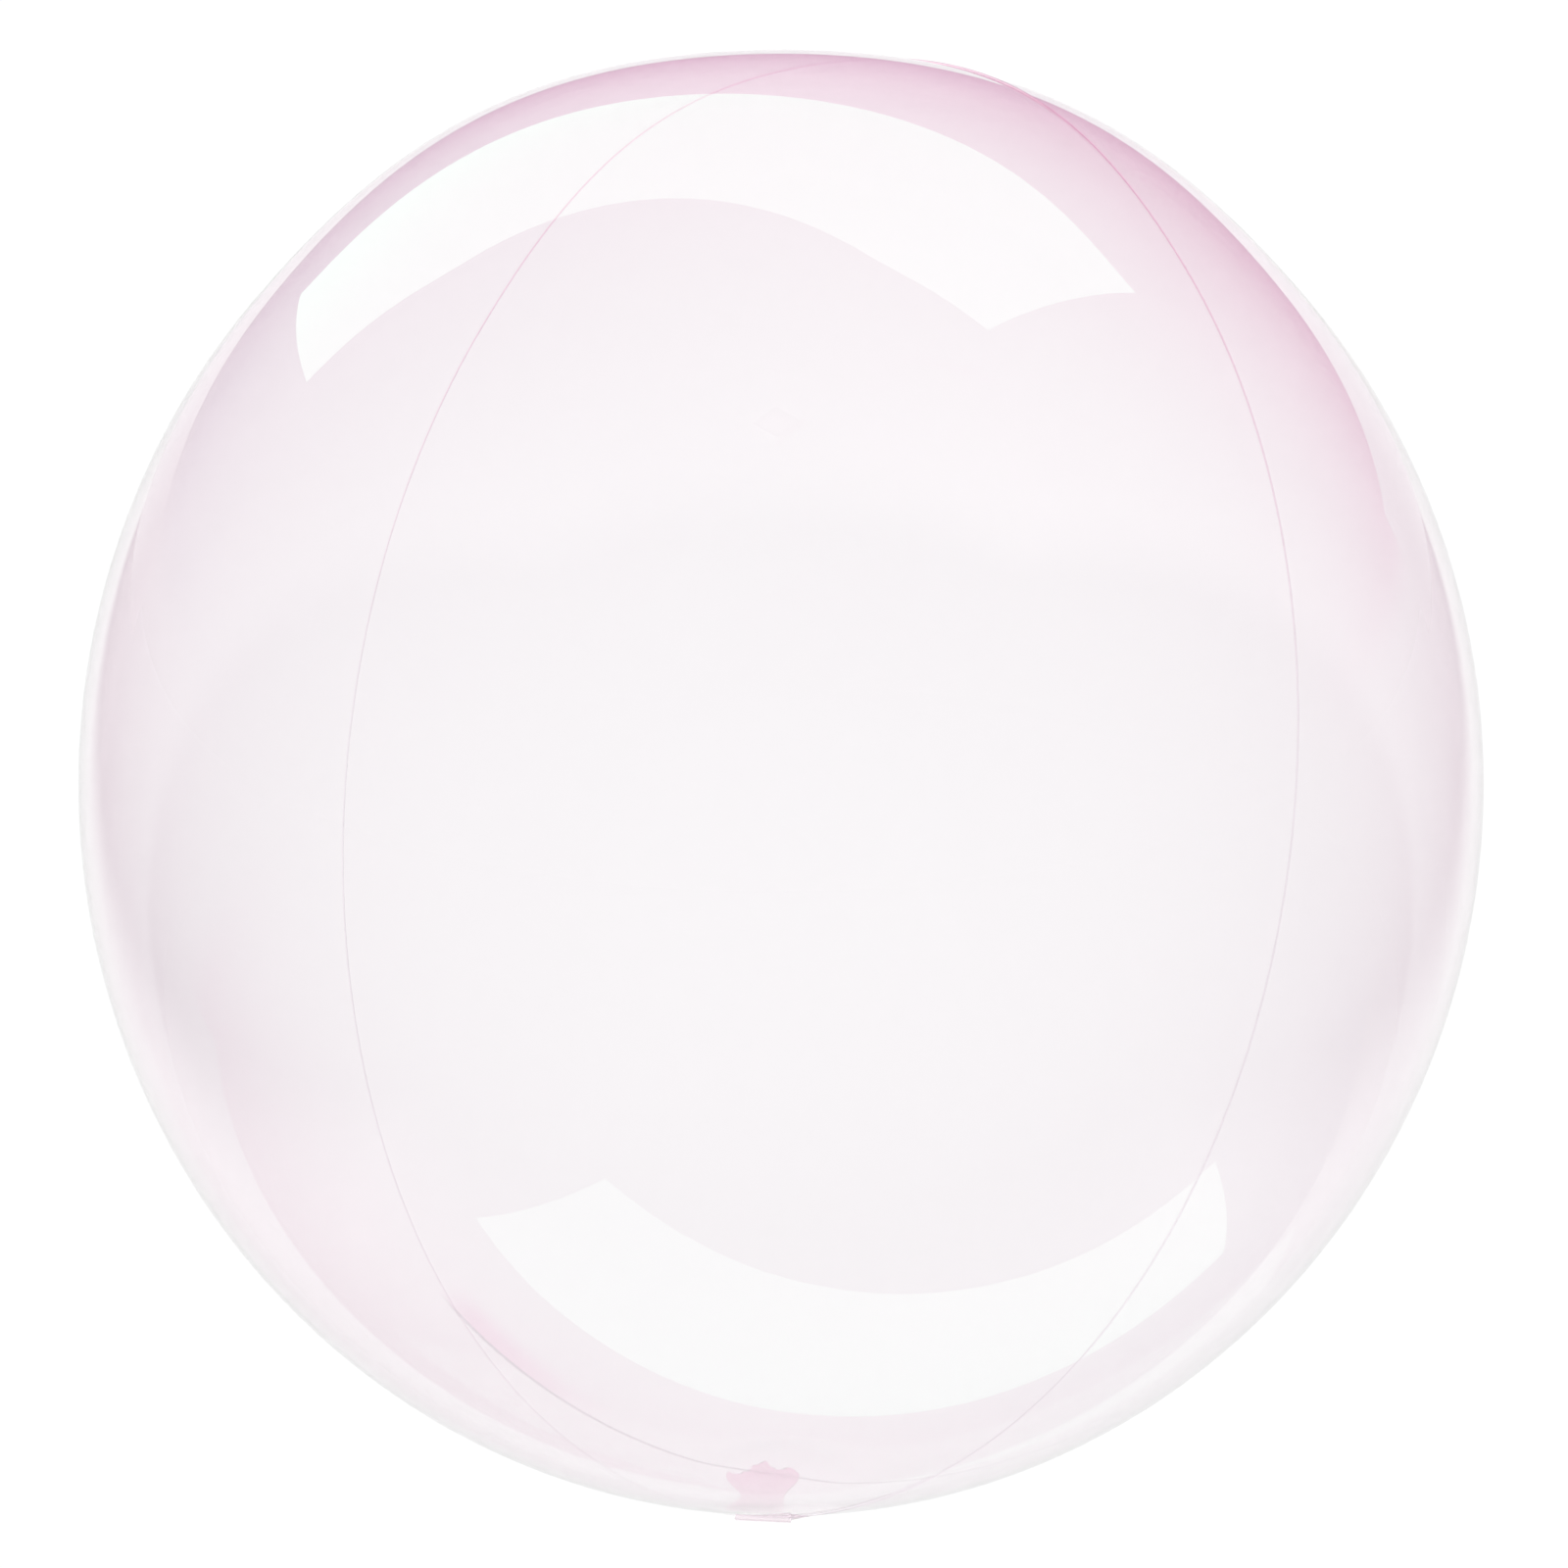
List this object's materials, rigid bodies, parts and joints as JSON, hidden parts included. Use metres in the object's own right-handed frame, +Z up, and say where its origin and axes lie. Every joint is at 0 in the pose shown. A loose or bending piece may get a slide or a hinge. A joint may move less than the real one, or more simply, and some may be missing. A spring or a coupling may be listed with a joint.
{
  "type": "clear bubble balloon",
  "caption": "Inflated ball of clear pale pink film with a welded edge all round it and a flat folded filling tail, lying on a small flat spot by the tail.",
  "frame": {"origin": "centre of the small flat spot that the balloon lies on", "axes": "+Z up as it lies, away from the flat spot and towards the crown, which leans 15 degrees back from it, +X across it towards the right-hand film panel, +Y from the tail at its front to its back"},
  "size_m": [0.48, 0.4813, 0.4994],
  "materials": {
    "film": "clear gloss",
    "tail_film": "clear gloss, several layers"
  },
  "bodies": {
    "root": {"left_film_panel": "film", "right_film_panel": "film", "filling_tail": "tail_film"}
  },
  "joints": []
}
